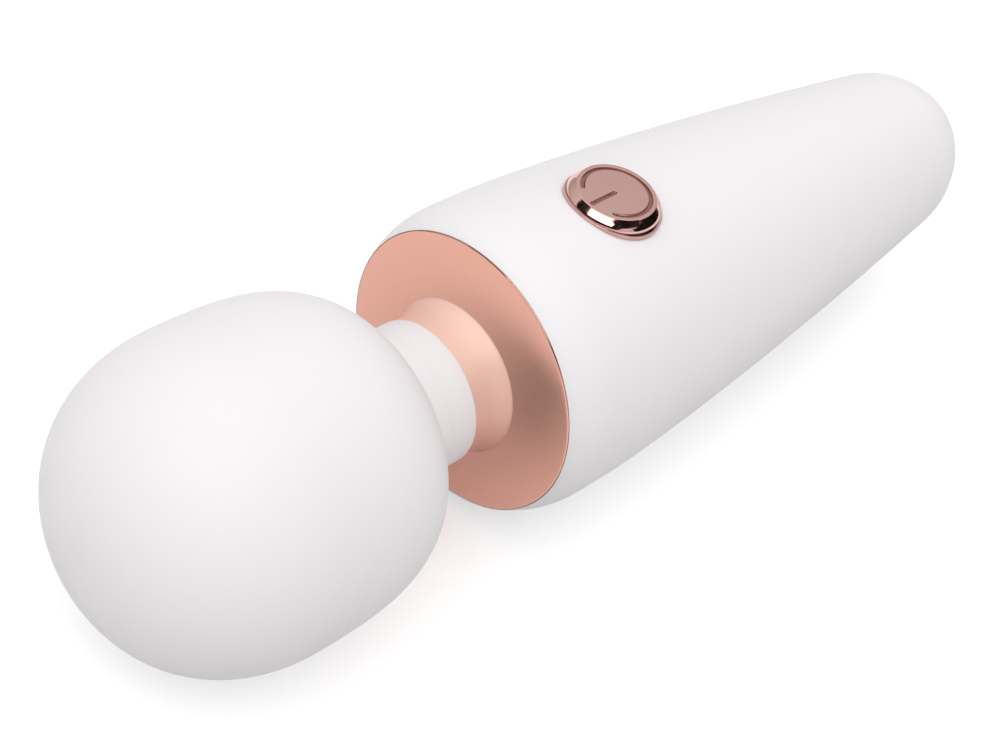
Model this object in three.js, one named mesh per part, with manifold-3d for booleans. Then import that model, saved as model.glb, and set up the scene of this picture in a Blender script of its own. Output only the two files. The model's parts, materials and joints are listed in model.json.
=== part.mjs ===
// A cordless wand massager: a soft round head on a flexible neck, and a tapered handle with one
// button. Millimetres. +X runs along the wand towards the head's tip, +Z goes up through the button,
// and the wand lies on z = 0. Shapes are worked out about the wand's own axis and moved at the end.
import * as THREE from "three";
import { mergeVertices } from "three/addons/utils/BufferGeometryUtils.js";
import Module from "manifold-3d";

const wasm = await Module();
wasm.setup();

// ---- Driving dimensions -------------------------------------------------------------------------
const LENGTH = 161; // overall, head tip to tail face
const TIP_X = 81.5;
const TAIL_X = TIP_X - LENGTH;
const GAP = 0.3; // between pieces that touch on the real object

// Head: a rounded solid of revolution, blunter behind than in front.
const HEAD_R = 20.5;
const HEAD_FRONT = 20.85; // widest station to tip
const HEAD_BACK = 22.3; // widest station to where the back would close
const HEAD_FRONT_POWER = 2.2;
const HEAD_BACK_POWER = 3.1;
const HEAD_X = TIP_X - HEAD_FRONT;
const HEAD_SKIN = 2.6;
const HEAD_WALL = 1.8;
const HEAD_SPLIT_X = HEAD_X - 1; // where the two cups meet

// Neck and the ring it comes out of.
const NECK_R = 9.5;
const THROAT_R = 8.3; // where the neck's sleeve passes through the ring
const NECK_BORE = 6.9;
const CORE_R = NECK_BORE - GAP;
const WIRE_BORE = 3.6;
const NECK_FRONT_X = 38.2; // the sleeve meets the head's skin
const PIVOT_X = 35.2; // middle of the neck's free length
const SOCKET_FRONT_X = 31.2;
const STEM_X = PIVOT_X * 2 - SOCKET_FRONT_X;
const RING_FRONT_X = 31;
const RING_FRONT_R = 9.1;
const RING_R = 10.1; // at its foot
const RING_BORE = THROAT_R + GAP;

// Handle: widest near the collar, tapering to a round tail.
const HANDLE_R = HEAD_R; // so that head and handle both touch the table
const WIDEST_X = 12.5; // the taper starts here
const TAPER = 9.25; // radius lost over the whole handle
const TAPER_POWER = 1.33;
const TAPER_SPAN = WIDEST_X - TAIL_X;
const CAP_X = -66.8; // where the tail starts to close
const CAP_LENGTH = 14.7;
const CAP_POWER = 1.85;
const LIP_X = 25; // front edge of the handle's skin
const LIP_LENGTH = 6.5; // along the rounded lip
const LIP_DROP = 1.5; // radius lost over it
const LIP_POWER = 2.2;
const SKIN = 1.65;
const SHELL = 1.8;
const SHELL_FRONT_X = 22.6;

// Collar.
const COLLAR_R = 18.55;
const COLLAR_X = 24.6; // its edge
const COLLAR_DOME = 0.9; // rise from the edge to the middle
const COLLAR_BACK_X = 23.6;
const COLLAR_HOLE = 9.5;

// Button, on a vertical axis.
const BUTTON_X = 4.2;
const BEZEL_R = 6.3;
const BEZEL_BORE = 5.95;
const BEZEL_PROUD = 0.5;
const CAP_R = 5.65;
const CAP_TOP_Z = 21.65;
const STEM_R = 2.2;
const STEM_Z = 14.5;

// Battery, board and charging pad.
const CELL_R = 7;
const CELL_LENGTH = 43;
const CELL_X = -13.5;
const CELL_Z = -4.5;
const BOARD = { front: 18.6, back: -38.5, half: 8.4, z: 8, thick: 1.2 };
const PAD_R = 5;
const PIN_Y = 2.2;
const MAGNET_Z = 3.1;

// Motor.
const MOTOR = { back: 46.5, front: 65.5, r: 9.6, wall: 1, shaft: 1 };

const CASING_SIDES = 24;
const ROUND_SIDES = 20;
const SMALL_SIDES = 10;
const WIRE_R = 0.55;

// The flats of the casing face down, so the axis is one apothem above the table.
const AXIS_Z = HANDLE_R * Math.cos(Math.PI / CASING_SIDES);

// ---- Materials ----------------------------------------------------------------------------------
const finish = (color, roughness, metalness = 0) =>
  new THREE.MeshStandardMaterial({ color, roughness, metalness });
const SILICONE = finish(0xf1eef0, 0.62);
const ROSE_GOLD = finish(0xd59c88, 0.16, 1);
const CASING = finish(0xe9e7e4, 0.5);
const DARK_PLASTIC = finish(0x24262a, 0.45);
const RUBBER = finish(0x3b3c40, 0.85);
const STEEL = finish(0xb4b7bb, 0.32, 1);
const COPPER = finish(0xc8854f, 0.3, 1);
const GOLD = finish(0xe0bd74, 0.22, 1);
const MAGNET = finish(0x8d9095, 0.3, 1);
const BOARD_GREEN = finish(0x1f6b45, 0.55);
const WRAP = finish(0x3f7fb5, 0.4);
const FOAM = finish(0xd8d8d4, 0.95);
const RED_LEAD = finish(0xc0302c, 0.5);
const BLACK_LEAD = finish(0x1b1b1d, 0.5);

// ---- Shape helpers ------------------------------------------------------------------------------
const superellipse = (u, power) =>
  Math.max(0, 1 - Math.min(1, Math.abs(u)) ** power) ** (1 / power);

// A profile of [x, radius] points turned about the wand's axis, with flats facing straight down.
function turned(profile, sides = CASING_SIDES) {
  const points = profile.map(([x, r]) => new THREE.Vector2(r, x));
  return new THREE.LatheGeometry(points, sides, Math.PI / sides).rotateZ(-Math.PI / 2);
}

// The same about a vertical axis through (x, y), from [z, radius] points.
function upright(profile, x, y, sides = ROUND_SIDES) {
  const points = profile.map(([z, r]) => new THREE.Vector2(r, z));
  const made = new THREE.LatheGeometry(points, sides);
  return made.rotateX(Math.PI / 2).translate(x, y, 0);
}

const rod = (x0, x1, r, sides = ROUND_SIDES) =>
  turned([[x0, 0], [x0, r], [x1, r], [x1, 0]], sides);
const post = (x, y, z0, z1, r, sides = ROUND_SIDES) =>
  upright([[z0, 0], [z0, r], [z1, r], [z1, 0]], x, y, sides);
const tube = (x0, x1, bore, r, sides = CASING_SIDES) =>
  turned([[x0, bore], [x0, r], [x1, r], [x1, bore], [x0, bore]], sides);

// A box from its low corner to its high corner.
function block(x0, x1, y0, y1, z0, z1) {
  const made = new THREE.BoxGeometry(x1 - x0, y1 - y0, z1 - z0);
  return made.translate((x0 + x1) / 2, (y0 + y1) / 2, (z0 + z1) / 2);
}

function solid(geometry) {
  const bare = geometry.clone();
  bare.deleteAttribute("normal");
  bare.deleteAttribute("uv");
  const { attributes, index } = mergeVertices(bare, 1e-4);
  return new wasm.Manifold(
    new wasm.Mesh({
      numProp: 3,
      vertProperties: attributes.position.array,
      triVerts: new Uint32Array(index.array),
    }),
  );
}

const cut = (base, ...tools) => tools.reduce((left, tool) => left.subtract(solid(tool)), base);
const joined = (base, ...more) => more.reduce((all, piece) => all.add(solid(piece)), base);

function geometryOf(made) {
  const { vertProperties, triVerts } = made.getMesh();
  const geometry = new THREE.BufferGeometry();
  geometry.setAttribute("position", new THREE.BufferAttribute(vertProperties, 3));
  geometry.setIndex(new THREE.BufferAttribute(triVerts, 1));
  geometry.computeVertexNormals();
  return geometry;
}

const wand = new THREE.Group();
wand.position.set(LENGTH / 2 - TIP_X, 0, AXIS_Z);

function add(name, shape, material) {
  const geometry = shape instanceof wasm.Manifold ? geometryOf(shape) : shape;
  const mesh = new THREE.Mesh(geometry, material);
  mesh.name = name;
  wand.add(mesh);
}

// ---- Outlines -----------------------------------------------------------------------------------
// The handle's radius at a station, moved inwards by an inset.
function handleRadius(x, inset = 0) {
  const along = Math.max(0, WIDEST_X - x) / TAPER_SPAN;
  const closing = Math.max(0, (CAP_X - x) / (CAP_LENGTH - inset));
  return (HANDLE_R - TAPER * along ** TAPER_POWER - inset) * superellipse(closing, CAP_POWER);
}

// The handle's outline from a front station back to the axis at the tail.
function handleOutline(frontX, inset, spans = 6, capSpans = 4) {
  const points = [];
  for (let i = 0; i <= spans; i++) {
    const x = THREE.MathUtils.lerp(frontX, CAP_X, i / spans);
    points.push([x, handleRadius(x, inset)]);
  }
  for (let i = 1; i <= capSpans; i++) {
    const turn = Math.sin((Math.PI / 2) * (i / capSpans)) ** (2 / CAP_POWER);
    const x = CAP_X - (CAP_LENGTH - inset) * turn;
    points.push([x, i === capSpans ? 0 : handleRadius(x, inset)]);
  }
  return points;
}

// The head's outline from the tip back to where it has narrowed to a given radius.
function headOutline(inset, backRadius, spans = 6) {
  const radius = HEAD_R - inset;
  const quarter = (length, power, from, to) => {
    const points = [];
    for (let i = 0; i <= spans; i++) {
      const turn = THREE.MathUtils.lerp(from, to, i / spans);
      const x = HEAD_X + length * Math.cos(turn) ** (2 / power);
      points.push([x, turn === 0 ? 0 : radius * Math.sin(turn) ** (2 / power)]);
    }
    return points;
  };
  const last = Math.asin((backRadius / radius) ** (HEAD_BACK_POWER / 2));
  const front = quarter(HEAD_FRONT - inset, HEAD_FRONT_POWER, 0, Math.PI / 2 - 1e-9);
  const back = quarter(HEAD_BACK - inset, HEAD_BACK_POWER, last, Math.PI / 2)
    .reverse()
    .slice(1)
    .map(([x, r]) => [2 * HEAD_X - x, r]);
  return [...front, ...back];
}

// ---- Handle casings -----------------------------------------------------------------------------
function roundedLip(spans = 5) {
  const points = [];
  for (let i = 0; i < spans; i++) {
    const back = i / spans;
    points.push([LIP_X - LIP_LENGTH * back, HANDLE_R - LIP_DROP * (1 - back) ** LIP_POWER]);
  }
  return points;
}

function handleSkin() {
  const outer = [...roundedLip(), [LIP_X - LIP_LENGTH, HANDLE_R], ...handleOutline(WIDEST_X, 0, 8, 5)];
  const inner = handleOutline(LIP_X - 0.6, SKIN, 5, 4).reverse();
  const skin = solid(turned([...inner, ...outer].reverse()));
  const buttonHole = post(BUTTON_X, 0, 0, HANDLE_R * 2, BEZEL_R + GAP, CASING_SIDES);
  const padHole = rod(TAIL_X - 5, TAIL_X + 5, PAD_R + GAP);
  const beyondTail = block(TAIL_X - 5, TAIL_X, -30, 30, -30, 30);
  return cut(skin, buttonHole, padHole, beyondTail);
}

const BOSSES = [
  { x: 12, y: 12.4, r: 3.2 },
  { x: 12, y: -12.4, r: 3.2 },
  { x: -60, y: 6.2, r: 3 },
  { x: -60, y: -6.2, r: 3 },
];
const BOARD_POSTS = [
  { x: 16.4, y: 0 },
  { x: -15, y: 6 },
  { x: -15, y: -6 },
];
const SCREW = { head: 1.9, headHeight: 1.2, shank: 1, up: 6, seat: -6.5 };
const BOARD_SCREW = { head: 1.7, headHeight: 1, shank: 0.8, length: 5 };

// The inner casing before it is split: a wall, a rib behind the neck socket, and a seat for the tail plug.
function innerCasing() {
  const outer = handleOutline(SHELL_FRONT_X, SKIN + GAP);
  const inner = handleOutline(SHELL_FRONT_X, SKIN + GAP + SHELL).reverse();
  const casing = solid(turned([...inner, ...outer].reverse()));
  const rib = tube(18.2, 19.6, 14.6, handleRadius(WIDEST_X) - SKIN - GAP - 0.6);
  return cut(joined(casing, rib), rod(TAIL_X - 5, TAIL_X + 12, PAD_R + GAP));
}

// Everything inside the inner casing's outer surface, used to trim ribs and bosses.
function insideCasing() {
  const outline = handleOutline(SHELL_FRONT_X, SKIN + GAP + 0.5);
  return solid(turned([[SHELL_FRONT_X, 0], ...outline].reverse()));
}

const UPPER = [TAIL_X - 5, TIP_X, -30, 30, GAP / 2, 30];
const LOWER = [TAIL_X - 5, TIP_X, -30, 30, -30, -GAP / 2];

function upperShell() {
  const trim = insideCasing();
  const towers = BOSSES.map(({ x, y, r }) => post(x, y, 0, 30, r, ROUND_SIDES));
  const boardPosts = BOARD_POSTS.map(({ x, y }) =>
    post(x, y, BOARD.z + BOARD.thick / 2 + GAP, 30, 1.9, SMALL_SIDES),
  );
  const buttonTower = post(BUTTON_X, 0, 13.9, 30, 10);
  const fittings = joined(solid(buttonTower), ...towers, ...boardPosts).intersect(trim);
  const holes = [
    post(BUTTON_X, 0, 0, 30, BEZEL_BORE + GAP),
    ...BOSSES.map(({ x, y }) => post(x, y, -1, SCREW.up + GAP, SCREW.shank + 0.12, SMALL_SIDES)),
    ...BOARD_POSTS.map(({ x, y }) =>
      post(x, y, 0, BOARD.z + BOARD_SCREW.length, BOARD_SCREW.shank + 0.12, SMALL_SIDES),
    ),
  ];
  return cut(innerCasing().add(fittings).intersect(solid(block(...UPPER))), ...holes);
}

function lowerShell() {
  const cradleXs = [-31, -14, 3];
  const cradles = cradleXs.map((x) => block(x - 0.8, x + 0.8, -20, 20, -30, CELL_Z - 1));
  const towers = BOSSES.map(({ x, y, r }) => post(x, y, -30, 0, r, ROUND_SIDES));
  const fittings = joined(solid(cradles[0]), ...cradles.slice(1), ...towers).intersect(insideCasing());
  const holes = BOSSES.flatMap(({ x, y }) => [
    post(x, y, SCREW.seat, 1, SCREW.shank + 0.12, SMALL_SIDES),
    post(x, y, -30, SCREW.seat, SCREW.head + GAP, SMALL_SIDES),
  ]);
  const cellBed = rod(-60, 30, CELL_R + GAP).translate(0, 0, CELL_Z);
  return cut(innerCasing().add(cut(fittings, cellBed)).intersect(solid(block(...LOWER))), ...holes);
}

function handleCasings() {
  add("handle_skin", handleSkin(), SILICONE);
  add("upper_shell", upperShell(), CASING);
  add("lower_shell", lowerShell(), CASING);
  BOSSES.forEach(({ x, y }, i) => {
    const top = SCREW.seat - GAP / 2;
    const profile = [
      [top - SCREW.headHeight, 0],
      [top - SCREW.headHeight, SCREW.head],
      [top, SCREW.head],
      [top, SCREW.shank],
      [SCREW.up, SCREW.shank],
      [SCREW.up, 0],
    ];
    add(`shell_screw_${i + 1}`, upright(profile, x, y, SMALL_SIDES), STEEL);
  });
}

// ---- Collar, ring and neck ----------------------------------------------------------------------
const collarFace = (r) => COLLAR_X + COLLAR_DOME * Math.sqrt(1 - Math.min(1, r / COLLAR_R) ** 3);

function collar() {
  const spans = 5;
  const face = [];
  for (let i = 0; i <= spans; i++) {
    const r = THREE.MathUtils.lerp(COLLAR_HOLE, COLLAR_R, Math.sin((Math.PI / 2) * (i / spans)));
    face.push([collarFace(r), r]);
  }
  const skirtBackX = 22.2;
  const back = [
    [COLLAR_BACK_X, COLLAR_R],
    [COLLAR_BACK_X, 16.3],
    [skirtBackX, 16.3],
    [skirtBackX, 15],
    [COLLAR_BACK_X, 15],
    [COLLAR_BACK_X, COLLAR_HOLE],
  ];
  return turned([...face, ...back, face[0]].reverse());
}

function collarSeal() {
  const section = [];
  for (let i = 0; i <= 8; i++) {
    const turn = (Math.PI * 2 * (i % 8)) / 8;
    section.push([23.1 + 0.36 * Math.cos(turn), 17.5 + 0.36 * Math.sin(turn)]);
  }
  return turned(section.reverse());
}

function neckRing() {
  const baseX = collarFace(RING_R) + GAP;
  const spigotX = COLLAR_BACK_X + GAP;
  const profile = [
    [spigotX, RING_BORE],
    [spigotX, COLLAR_HOLE - GAP],
    [baseX, COLLAR_HOLE - GAP],
    [baseX, RING_R],
    [baseX + 1.4, THREE.MathUtils.lerp(RING_R, RING_FRONT_R, 0.6)],
    [baseX + 3.2, RING_FRONT_R + 0.12],
    [RING_FRONT_X, RING_FRONT_R],
    [RING_FRONT_X, RING_BORE],
    [spigotX, RING_BORE],
  ];
  return turned(profile);
}

function neckSleeve() {
  const flangeX = 22.2;
  const profile = [
    [flangeX, NECK_BORE],
    [flangeX, 12.5],
    [COLLAR_BACK_X - GAP, 12.5],
    [COLLAR_BACK_X - GAP, THROAT_R],
    [RING_FRONT_X + GAP, THROAT_R],
    [RING_FRONT_X + GAP, NECK_R],
    [PIVOT_X, NECK_R],
    [NECK_FRONT_X - GAP, NECK_R],
    [NECK_FRONT_X - GAP, NECK_BORE],
    [flangeX, NECK_BORE],
  ];
  return turned(profile);
}

function neckSocket() {
  const flange = { back: 19.9, front: 21.9, r: 16.2 };
  const profile = [
    [flange.back, WIRE_BORE],
    [flange.back, flange.r],
    [flange.front, flange.r],
    [flange.front, CORE_R],
    [SOCKET_FRONT_X, CORE_R],
    [SOCKET_FRONT_X, WIRE_BORE],
    [flange.back, WIRE_BORE],
  ];
  return turned(profile, ROUND_SIDES);
}

function neck() {
  add("collar", collar(), ROSE_GOLD);
  add("collar_seal", collarSeal(), RUBBER);
  add("neck_ring", neckRing(), ROSE_GOLD);
  add("neck_socket", neckSocket(), CASING);
  add("neck_core", tube(SOCKET_FRONT_X + GAP, STEM_X - GAP, WIRE_BORE, CORE_R, ROUND_SIDES), RUBBER);
  add("neck_sleeve", neckSleeve(), SILICONE);
}

// ---- Head ---------------------------------------------------------------------------------------
function headSkin() {
  const outer = headOutline(0, 11.2);
  const fillet = [
    [39.35, 10.1],
    [38.8, 9.6],
    [NECK_FRONT_X, NECK_R],
    [NECK_FRONT_X, NECK_BORE],
  ];
  const inner = headOutline(HEAD_SKIN, 7.4, 5).reverse();
  return turned([...outer, ...fillet, ...inner].reverse());
}

// The rear cup: a wall that narrows to the stem that the neck's core is bonded to.
function headCupRear() {
  const inset = HEAD_SKIN + GAP;
  const outer = headOutline(inset, CORE_R).filter(([x]) => x < HEAD_SPLIT_X);
  const inner = headOutline(inset + HEAD_WALL, WIRE_BORE, 5).filter(([x]) => x < HEAD_SPLIT_X);
  const profile = [
    [HEAD_SPLIT_X, HEAD_R - inset],
    ...outer,
    [STEM_X, CORE_R],
    [STEM_X, WIRE_BORE],
    ...inner.reverse(),
    [HEAD_SPLIT_X, HEAD_R - inset - HEAD_WALL],
    [HEAD_SPLIT_X, HEAD_R - inset],
  ];
  return turned(profile.reverse());
}

// The front cup, with a thin spigot that nests in the rear cup.
function headCupFront() {
  const inset = HEAD_SKIN + GAP;
  const frontX = HEAD_SPLIT_X + GAP;
  const spigotX = HEAD_SPLIT_X - 2.4;
  const spigotR = HEAD_R - inset - HEAD_WALL - GAP;
  const spigotWall = 0.9;
  const outer = headOutline(inset, HEAD_R - inset - 0.01).filter(([x]) => x > frontX);
  const clearOfSpigot = ([x, r]) => x > frontX + 2 && r < spigotR - spigotWall;
  const inner = headOutline(inset + HEAD_WALL, 15, 5).filter(clearOfSpigot);
  const profile = [
    ...outer,
    [frontX, HEAD_R - inset],
    [frontX, spigotR],
    [spigotX, spigotR],
    [spigotX, spigotR - spigotWall],
    [frontX + 1.5, spigotR - spigotWall],
    ...inner.reverse(),
  ];
  return turned(profile.reverse());
}

function head() {
  add("head_skin", headSkin(), SILICONE);
  add("head_cup_front", headCupFront(), CASING);
  add("head_cup_rear", headCupRear(), CASING);
}

// ---- Motor --------------------------------------------------------------------------------------
function motorCan() {
  const { back, front, r, wall, shaft } = MOTOR;
  const nose = { r: 3, length: 1.2 };
  const profile = [
    [back + 1.8, r],
    [front, r],
    [front, nose.r],
    [front + nose.length, nose.r],
    [front + nose.length, shaft + 0.6],
    [front - wall, shaft + 0.6],
    [front - wall, r - wall],
    [back + 1.8, r - wall],
    [back + 1.8, r],
  ];
  return turned(profile, ROUND_SIDES);
}

function armature() {
  const { back, front } = MOTOR;
  const poles = 3;
  const star = new THREE.Shape();
  const arm = 1.15;
  const shoe = { r: 6.6, back: 5.6, half: 0.78 };
  for (let i = 0; i < poles; i++) {
    const at = (Math.PI * 2 * i) / poles;
    const spoke = (angle, r) => [r * Math.cos(at + angle), r * Math.sin(at + angle)];
    const outline = [
      spoke(-0.55, 2.2),
      spoke(-arm / 4.4, 5),
      spoke(-shoe.half, shoe.back),
      spoke(-shoe.half, shoe.r),
      spoke(0, shoe.r + 0.35),
      spoke(shoe.half, shoe.r),
      spoke(shoe.half, shoe.back),
      spoke(arm / 4.4, 5),
    ];
    outline.forEach(([y, z], j) => (i + j ? star.lineTo(y, z) : star.moveTo(y, z)));
  }
  star.closePath();
  const stack = new THREE.ExtrudeGeometry(star, { depth: front - back - 10, bevelEnabled: false });
  stack.rotateY(Math.PI / 2).translate(back + 6, 0, 0);
  return cut(solid(stack), rod(back, front, MOTOR.shaft + 0.1, SMALL_SIDES));
}

// A half disc of steel clamped on the shaft's free end.
function eccentricWeight() {
  const x0 = MOTOR.front + 2.2;
  const x1 = x0 + 6.4;
  const disc = solid(rod(x0, x1, 8.6)).subtract(solid(block(x0 - 1, x1 + 1, -10, 10, 1.8, 20)));
  return cut(disc, rod(x0 - 1, x1 + 1, MOTOR.shaft + 0.1, SMALL_SIDES));
}

function motor() {
  const { back, front, r, wall, shaft } = MOTOR;
  add("motor_can", motorCan(), STEEL);
  add("motor_magnet", tube(back + 4.5, front - 2.4, 7.25, r - wall - 0.15, ROUND_SIDES), MAGNET);
  add("front_bearing", tube(front - wall, front + 1.1, shaft + 0.05, shaft + 0.5, ROUND_SIDES), COPPER);
  add("rear_bearing", tube(back + 0.2, back + 1.4, shaft + 0.05, shaft + 0.7, ROUND_SIDES), COPPER);
  const endCap = solid(rod(back, back + 1.5, r)).subtract(solid(rod(back - 1, back + 3, shaft + 0.9)));
  const slots = [4.2, -5.4].map((y) => block(back - 1, back + 3, y, y + 1.2, -1, 1));
  add("motor_end_cap", cut(endCap, ...slots), DARK_PLASTIC);
  for (const [side, y] of [["left", 4.8], ["right", -4.8]])
    add(`motor_terminal_${side}`, block(back - 1.6, back + 2.8, y - 0.3, y + 0.3, -0.8, 0.8), COPPER);
  add("motor_boot", tube(back + 2.5, front - 1.5, r + 0.25, r + 1.9, ROUND_SIDES), RUBBER);
  add("motor_bulkhead", tube(56.2, 58.6, r + 2.2, 14.2, ROUND_SIDES), CASING);
  add("motor_shaft", rod(back + 0.4, front + 9.4, shaft, SMALL_SIDES), STEEL);
  add("motor_armature", armature(), COPPER);
  add("motor_commutator", tube(back + 2, back + 4.2, shaft + 0.1, 2.2, SMALL_SIDES), GOLD);
  add("eccentric_weight", eccentricWeight(), STEEL);
}

// ---- Button -------------------------------------------------------------------------------------
function overHandle(proud) {
  return solid(turned([[WIDEST_X, 0], ...handleOutline(WIDEST_X, -proud)].reverse()));
}

// A short tube that follows the handle's curve, standing a little proud of the skin.
function buttonBezel() {
  const ring = solid(post(BUTTON_X, 0, 10, 30, BEZEL_R, CASING_SIDES));
  const sleeve = cut(ring, post(BUTTON_X, 0, 0, 40, BEZEL_BORE, CASING_SIDES));
  return sleeve.intersect(overHandle(BEZEL_PROUD)).subtract(overHandle(-SKIN));
}

// The power mark sunk into the button's top: an open ring and a bar.
function powerMark() {
  const depth = 0.3;
  const ring = { r: 4.15, half: 0.26, open: 0.7 };
  const mark = new THREE.Shape();
  const start = ring.open;
  const end = Math.PI * 2 - ring.open;
  mark.absarc(0, 0, ring.r + ring.half, start, end, false);
  mark.absarc(0, 0, ring.r - ring.half, end, start, true);
  const extrude = { depth: 2, bevelEnabled: false, curveSegments: 16 };
  const arc = new THREE.ExtrudeGeometry(mark, extrude);
  arc.translate(BUTTON_X, 0, CAP_TOP_Z - depth);
  const bar = block(BUTTON_X + 0.4, BUTTON_X + 4.3, -ring.half, ring.half, CAP_TOP_Z - depth, CAP_TOP_Z + 2);
  return [arc, bar];
}

function buttonCap() {
  const shoulder = 0.95;
  const profile = [
    [STEM_Z, 0],
    [STEM_Z, STEM_R],
    [16.6, STEM_R],
    [16.6, CAP_R],
    [CAP_TOP_Z - shoulder, CAP_R],
    [CAP_TOP_Z - shoulder * 0.45, CAP_R - shoulder * 0.22],
    [CAP_TOP_Z - shoulder * 0.12, CAP_R - shoulder * 0.6],
    [CAP_TOP_Z, CAP_R - shoulder * 1.1],
    [CAP_TOP_Z, 0],
  ];
  return cut(solid(upright(profile, BUTTON_X, 0)), ...powerMark());
}

function button() {
  const plate = { low: 12.6, high: 13.6, r: 8.5 };
  const membrane = [
    [12.3, 0],
    [12.3, 1.5],
    [plate.low, 1.5],
    [plate.low, plate.r],
    [plate.high, plate.r],
    [plate.high, STEM_R],
    [STEM_Z - GAP, STEM_R],
    [STEM_Z - GAP, 0],
  ];
  const clamp = [[11.1, 6.2], [11.1, plate.r], [12.3, plate.r], [12.3, 6.2], [11.1, 6.2]];
  const body = { half: 3, low: BOARD.z + BOARD.thick / 2 + 0.1, high: 11.4 };
  const { half, low, high } = body;
  const housing = solid(block(BUTTON_X - half, BUTTON_X + half, -half, half, low, high));
  add("button_bezel", buttonBezel(), ROSE_GOLD);
  add("button_cap", buttonCap(), ROSE_GOLD);
  add("button_membrane", upright(membrane, BUTTON_X, 0), SILICONE);
  add("membrane_clamp", upright(clamp, BUTTON_X, 0), CASING);
  add("tact_switch", cut(housing, post(BUTTON_X, 0, 10.5, 13, 1.9)), DARK_PLASTIC);
  add("switch_plunger", post(BUTTON_X, 0, 11, 12, 1.7), CASING);
}

// ---- Board, battery and leads -------------------------------------------------------------------
function mainBoard() {
  const { front, back, half, z, thick } = BOARD;
  const plate = solid(block(back, front, -half, half, z - thick / 2, z + thick / 2));
  const noses = [half, -half].map((y) => post(front, y, z - 5, z + 5, 3.2, ROUND_SIDES));
  const holes = BOARD_POSTS.map(({ x, y }) => post(x, y, 0, 20, BOARD_SCREW.shank + 0.3, SMALL_SIDES));
  return cut(plate, ...noses, ...holes);
}

// A lead along a smooth curve through its points.
function lead(name, points, material) {
  const path = new THREE.CatmullRomCurve3(points.map((p) => new THREE.Vector3(...p)));
  const section = new THREE.Shape();
  section.absarc(0, 0, WIRE_R, 0, Math.PI * 2, false);
  const steps = Math.max(8, Math.round(path.getLength() / 4));
  add(name, new THREE.ExtrudeGeometry(section, { steps, extrudePath: path, curveSegments: 3 }), material);
}

function electronics() {
  const top = BOARD.z + BOARD.thick / 2 + 0.1;
  const under = BOARD.z - BOARD.thick / 2 - 0.1;
  add("main_board", mainBoard(), BOARD_GREEN);
  add("controller_chip", block(-9.5, -4.5, -2.5, 2.5, top, top + 0.9), DARK_PLASTIC);
  add("charge_chip", block(-25, -21.4, -1.8, 1.8, top, top + 0.8), DARK_PLASTIC);
  add("inductor", post(-29, 3.2, top, top + 2.2, 2.2, SMALL_SIDES), RUBBER);
  add("capacitor", post(-29, -3.4, top, top + 3.6, 2, SMALL_SIDES), STEEL);
  add("motor_header", block(8.4, 12.4, -3, 3, under - 3.2, under), CASING);
  add("battery_header", block(-32, -28, -3, 3, under - 3.2, under), CASING);
  BOARD_POSTS.forEach(({ x, y }, i) => {
    const seat = BOARD.z - BOARD.thick / 2 - 0.1;
    const profile = [
      [seat - BOARD_SCREW.headHeight, 0],
      [seat - BOARD_SCREW.headHeight, BOARD_SCREW.head],
      [seat, BOARD_SCREW.head],
      [seat, BOARD_SCREW.shank],
      [seat + BOARD_SCREW.length, BOARD_SCREW.shank],
      [seat + BOARD_SCREW.length, 0],
    ];
    add(`board_screw_${i + 1}`, upright(profile, x, y, SMALL_SIDES), STEEL);
  });
}

function battery() {
  const front = CELL_X + CELL_LENGTH / 2;
  const back = CELL_X - CELL_LENGTH / 2;
  const crimp = 0.4;
  const profile = [
    [back, 0],
    [back, CELL_R - crimp],
    [back + crimp, CELL_R],
    [front - crimp, CELL_R],
    [front, CELL_R - crimp],
    [front, 0],
  ];
  const can = turned(profile, ROUND_SIDES);
  add("battery_cell", can.translate(0, 0, CELL_Z), WRAP);
  const nub = rod(front + 0.1, front + 1.1, 2.6, SMALL_SIDES);
  add("battery_terminal", nub.translate(0, 0, CELL_Z), STEEL);
  add("battery_foam", block(-12, 4, -3.5, 3.5, CELL_Z + CELL_R + 0.2, CELL_Z + CELL_R + 2), FOAM);
  const headerZ = BOARD.z - 2.4;
  lead("battery_lead_red", [
    [front + 1.8, 0, CELL_Z],
    [front + 2.4, 4, CELL_Z + 3],
    [front - 3, 8.6, 1.6],
    [-8, 8.9, 2.6],
    [-22, 8.4, 3.6],
    [-28, 6, 4.8],
    [-30, 3.8, headerZ],
  ], RED_LEAD);
  lead("battery_lead_black", [
    [back - 0.8, 0, CELL_Z],
    [back - 1.9, -2.5, CELL_Z + 4],
    [back - 1.2, -6, 3],
    [back + 1.5, -7, 4.6],
    [-30, -3.8, headerZ],
  ], BLACK_LEAD);
}

// Two leads from the motor's terminals, down the neck's bore, to the header under the board.
function motorLeads() {
  for (const [colour, side, material] of [["red", 1, RED_LEAD], ["black", -1, BLACK_LEAD]])
    lead(`motor_lead_${colour}`, [
      [MOTOR.back - 2.3, side * 4.8, 0],
      [43.9, side * 2.6, 0],
      [41.6, side * 1.4, 0],
      [PIVOT_X, side * 1.3, 0],
      [24, side * 1.3, 0],
      [17.4, side * 1.7, 0.6],
      [14.4, side * 1.9, 3.2],
      [13.1, side * 1.9, BOARD.z - 2.6],
    ], material);
}

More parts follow.
